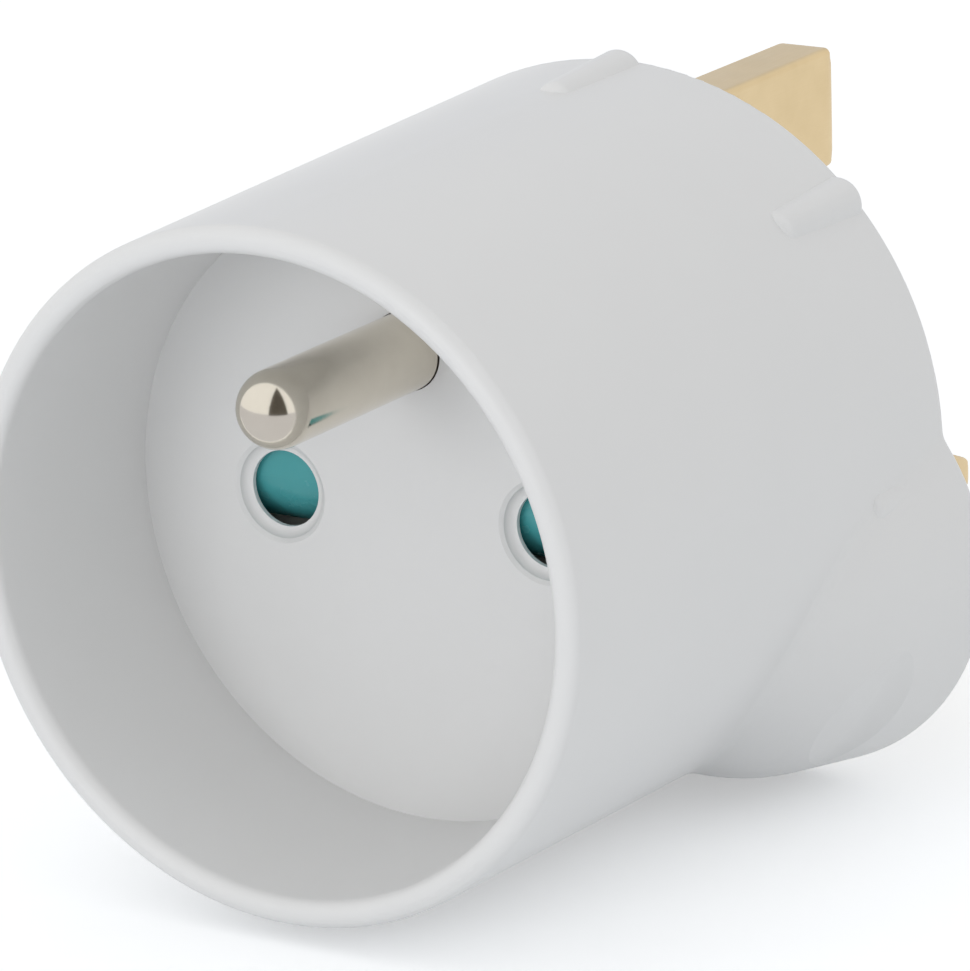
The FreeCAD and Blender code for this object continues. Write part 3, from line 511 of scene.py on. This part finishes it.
class Recipe(Tree):
    """A Geometry Nodes tree with named sizes, which ends in plain, finished geometry."""

    def __init__(self, name, sizes):
        super().__init__(bpy.data.node_groups.new(name, "GeometryNodeTree"))
        self.name = name
        self.keys = {}
        for label, value in sizes.items():
            kind = "NodeSocketInt" if isinstance(value, int) else "NodeSocketFloat"
            socket = self.tree.interface.new_socket(label, in_out="INPUT", socket_type=kind)
            self.keys[socket.identifier] = value
        self.tree.interface.new_socket("Geometry", in_out="OUTPUT", socket_type="NodeSocketGeometry")
        self.sizes = self.node("NodeGroupInput")

    def vector(self, x=0.0, y=0.0, z=0.0):
        return self.node("ShaderNodeCombineXYZ", {}, {"X": x, "Y": y, "Z": z})["Vector"]

    def joined(self, *shapes):
        return self.node("GeometryNodeJoinGeometry", {}, {"Geometry": list(shapes)})["Geometry"]

    def placed(self, shape, move=(0, 0, 0), turn=(0, 0, 0)):
        values = {"Geometry": shape, "Translation": move, "Rotation": turn}
        return self.node("GeometryNodeTransform", {}, values)["Geometry"]

    def cone(self, sides, top, bottom, depth):
        values = {"Vertices": sides, "Radius Top": top, "Radius Bottom": bottom, "Depth": depth}
        return self.node("GeometryNodeMeshCone", {}, values)["Mesh"]

    def circle(self, sides, radius):
        values = {"Resolution": sides, "Radius": radius}
        return self.node("GeometryNodeCurvePrimitiveCircle", {}, values)["Curve"]

    def coil(self, steps, turns, radius, height):
        """A helix up Z, cut into so many steps a turn."""
        values = {
            "Resolution": steps, "Rotations": turns, "Start Radius": radius, "End Radius": radius,
            "Height": height,
        }
        return self.node("GeometryNodeCurveSpiral", {}, values)["Curve"]

    def swept(self, path, profile):
        values = {"Curve": path, "Profile Curve": profile, "Fill Caps": True}
        return self.node("GeometryNodeCurveToMesh", {}, values)["Mesh"]

    def mesh(self, shape, slot):
        """Runs the tree and gives its result as a plain mesh."""
        flat = self.node("GeometryNodeRealizeInstances", {}, {"Geometry": shape})["Geometry"]
        values = {"Geometry": flat, "Material": FINISHES[slot]}
        dressed = self.node("GeometryNodeSetMaterial", {}, values)["Geometry"]
        self.node("NodeGroupOutput", {}, {"Geometry": dressed})
        holder = add_object(self.name, bpy.data.meshes.new(self.name))
        modifier = holder.modifiers.new(self.name, "NODES")
        modifier.node_group = self.tree
        for key, value in self.keys.items():
            modifier[key] = value
        return plain_mesh(holder)


def cut_head(recipe, size):
    """A screw's countersunk head with two crossed slots, its face at Z = 0."""
    head = recipe.cone(HEAD_SIDES, size["Head radius"], size["Shank radius"], size["Head height"])
    head = recipe.placed(head, recipe.vector(z=0.0 - size["Head height"]))
    slots = (("Slot reach", "Slot width", 1.0), ("Slot width", "Slot reach", CROSS_STEP))
    for slot_x, slot_y, share in slots:
        sides = recipe.vector(size[slot_x], size[slot_y], size["Slot depth"] * share)
        slot = recipe.node("GeometryNodeMeshCube", {}, {"Size": sides})["Mesh"]
        values = {"Mesh 1": head, "Mesh 2": slot}
        head = recipe.node("GeometryNodeMeshBoolean", {"operation": "DIFFERENCE"}, values)["Mesh"]
    return head


def cut_shank(recipe, size):
    """A screw's shank below the head, its blunt point and its thread."""
    point = size["Shank radius"] * POINT_LENGTH
    length = size["Length"] - size["Head height"] - point
    values = {"Vertices": SHANK_SIDES, "Radius": size["Shank radius"], "Depth": length}
    shank = recipe.node("GeometryNodeMeshCylinder", {}, values)["Mesh"]
    shank = recipe.placed(shank, recipe.vector(z=0.0 - size["Head height"] - length * 0.5))
    blunt = size["Shank radius"] * POINT_BLUNT
    tip = recipe.cone(SHANK_SIDES, size["Shank radius"], blunt, point)
    tip = recipe.placed(tip, recipe.vector(z=0.0 - size["Length"]))
    helix = recipe.coil(THREAD_STEPS, length / size["Thread pitch"], size["Shank radius"], length)
    thread = recipe.swept(helix, recipe.circle(THREAD_SIDES, size["Thread rise"]))
    thread = recipe.placed(thread, recipe.vector(z=point - size["Length"]))
    return shank, tip, thread


def make_screws():
    """The four base screws as one mesh, each turned to an angle of its own."""
    names = [node for node in SLOTS if node.startswith("base_screw_")]
    low, high = (Vector(corner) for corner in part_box(names[-1]))
    middle = (low + high) / 2
    length = high.y - low.y
    recipe = Recipe("base_screws", {
        "Across": 2 * abs(middle.x), "Upright": 2 * abs(middle.z), "Face": high.y,
        "Head radius": (high.x - low.x) / 2, "Head height": HEAD_SHARE * length,
        "Shank radius": SHANK_RADIUS, "Length": length,
        "Slot reach": 2 * CROSS_REACH, "Slot width": CROSS_WIDTH, "Slot depth": 2 * CROSS_DEPTH,
        "Thread pitch": THREAD_PITCH, "Thread rise": THREAD_RISE, "Seed": SCREW_SEED,
    })
    size = recipe.sizes
    screw = recipe.joined(cut_head(recipe, size), *cut_shank(recipe, size))
    facing = (-QUARTER_TURN, 0, 0)
    corners = recipe.node("GeometryNodeMeshGrid", {}, {
        "Size X": size["Across"], "Size Y": size["Upright"], "Vertices X": 2, "Vertices Y": 2,
    })["Mesh"]
    corners = recipe.placed(corners, recipe.vector(y=size["Face"]), facing)
    values = {"Points": corners, "Instance": screw, "Rotation": facing}
    screws = recipe.node("GeometryNodeInstanceOnPoints", {}, values)["Instances"]
    values = {"Max": QUARTER_TURN, "Seed": size["Seed"]}
    turn = recipe.node("FunctionNodeRandomValue", {"data_type": "FLOAT"}, values)["Value"]
    values = {"Instances": screws, "Rotation": recipe.vector(z=turn), "Local Space": True}
    screws = recipe.node("GeometryNodeRotateInstances", {}, values)["Instances"]
    mesh = recipe.mesh(screws, "zinc_steel")
    smooth(mesh)
    add_piece("base_screws", mesh, "zinc_steel", "root", *names)


def make_spring():
    """The shutter's compression spring: a round wire coil with a flat turn at each end."""
    low, high = (Vector(corner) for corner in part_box("shutter_spring"))
    middle = (low + high) / 2
    recipe = Recipe("spring_coil", {
        "Coil radius": (high.x - low.x - SPRING_WIRE) / 2, "Height": high.z - low.z - SPRING_WIRE,
        "Turns": SPRING_TURNS, "Wire radius": SPRING_WIRE / 2,
    })
    size = recipe.sizes
    coil = recipe.coil(SPRING_STEPS, size["Turns"], size["Coil radius"], size["Height"])
    ring = recipe.circle(SPRING_STEPS, size["Coil radius"])
    top_ring = recipe.placed(ring, recipe.vector(z=size["Height"]))
    wire = recipe.circle(WIRE_SIDES, size["Wire radius"])
    body = recipe.swept(recipe.joined(coil, ring, top_ring), wire)
    body = recipe.placed(body, (middle.x, middle.y, low.z + SPRING_WIRE / 2))
    mesh = recipe.mesh(body, "spring_steel")
    mesh.shade_smooth()
    spring = add_piece("spring_coil", mesh, "spring_steel", "root", "shutter_spring")
    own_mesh(spring)


def make_camera():
    """The photograph's camera."""
    camera = bpy.data.cameras.new("photo_camera")
    camera.sensor_fit = "VERTICAL"
    camera.sensor_height = SENSOR_HEIGHT
    camera.lens = FOCAL_PIXELS * SENSOR_HEIGHT / PHOTO_HEIGHT
    holder = add_object("photo_camera", camera)
    turn = Matrix((CAMERA_RIGHT, CAMERA_UP, CAMERA_BACK)).transposed().to_4x4()
    holder.matrix_world = Matrix.Translation(CAMERA_PLACE) @ turn
    bpy.context.scene.camera = holder


def seen_directly(tree):
    """1 for rays from the camera, from gloss or through glass, else 0."""
    rays = tree.node("ShaderNodeLightPath")
    return rays["Is Camera Ray"].larger(rays["Is Glossy Ray"]).larger(rays["Is Transmission Ray"])


def stage_sheet(name, corners, material):
    """A flat sheet of the studio."""
    mesh = bpy.data.meshes.new(name)
    mesh.from_pydata(corners, [], [tuple(range(len(corners)))])
    mesh.materials.append(material)
    sheet = add_object(name, mesh)
    sheet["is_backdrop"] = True
    return sheet


def make_floor():
    """Pale floor that shows as white but keeps the object's shadow."""
    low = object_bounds()[0][2]
    paint = Paint("floor_paper")
    paint.fixed(Base_Color=FLOOR_SHADE, Roughness=FLOOR_ROUGHNESS, Specular_IOR_Level=FLOOR_SHINE)
    paint.fixed(Emission_Color=(1, 1, 1, 1))
    paint.feed(paint.shader.inputs["Emission Strength"], seen_directly(paint) * FLOOR_LIFT)
    far = FLOOR_HALF
    corners = [(-far, -far, low), (far, -far, low), (far, far, low), (-far, far, low)]
    stage_sheet("floor", corners, paint.material)


def make_card(name, corners, shades):
    """A glowing card that shows only in gloss, as a painted reflection: it neither lights nor shades
    anything.
    """
    paint = Paint(name)
    paint.fixed(Base_Color=(0, 0, 0, 1), Specular_IOR_Level=0.0, Emission_Strength=1.0)
    # the painted reflection's colour: a glow that drifts between the two shades
    paint.varied(Emission_Color=paint.blend(paint.noise(CARD_GRAIN, detail=4.0), *shades))
    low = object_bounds()[0][2]
    card = stage_sheet(name, [(x, y, low + z) for x, y, z in corners], paint.material)
    for kind in ("camera", "diffuse", "transmission", "volume_scatter", "shadow"):
        setattr(card, "visible_" + kind, False)


def make_world():
    """White surroundings: plain white to look at, a little dimmer as a light."""
    world = bpy.data.worlds.new("studio")
    bpy.context.scene.world = world
    world.use_nodes = True
    tree = Tree(world.node_tree)
    sky = world.node_tree.nodes["Background"]
    sky.inputs["Color"].default_value = (1, 1, 1, 1)
    tree.feed(sky.inputs["Strength"], ROOM_LIGHT + seen_directly(tree) * (ROOM_SEEN - ROOM_LIGHT))


def make_lamp(name, place, size, power):
    """A soft round lamp that faces the origin and doesn't show in gloss."""
    lamp = bpy.data.lights.new(name, "AREA")
    lamp.shape = "DISK"
    lamp.size = size
    lamp.energy = power
    holder = add_object(name, lamp)
    turn = Vector(place).to_track_quat("Z", "Y").to_matrix().to_4x4()
    holder.matrix_world = Matrix.Translation(place) @ turn
    holder.visible_glossy = False


for pin in TIPS:
    eased_piece(pin.replace("plug_", "") + "_eased", pin, PIN_EASE)
domed_piece("earth_contact_pin", "socket_earth_pin")
eased_piece("drawer_front", "fuse_drawer", DRAWER_EASE, "fuse_drawer")
make_screws()
make_spring()
make_camera()
make_floor()
for card_name, (corners, shades) in CARDS.items():
    make_card(card_name, corners, shades)
make_world()
for lamp_name, (place, size, power) in LAMPS.items():
    make_lamp(lamp_name, place, size, power)

bpy.context.scene.view_settings.view_transform = "Standard"
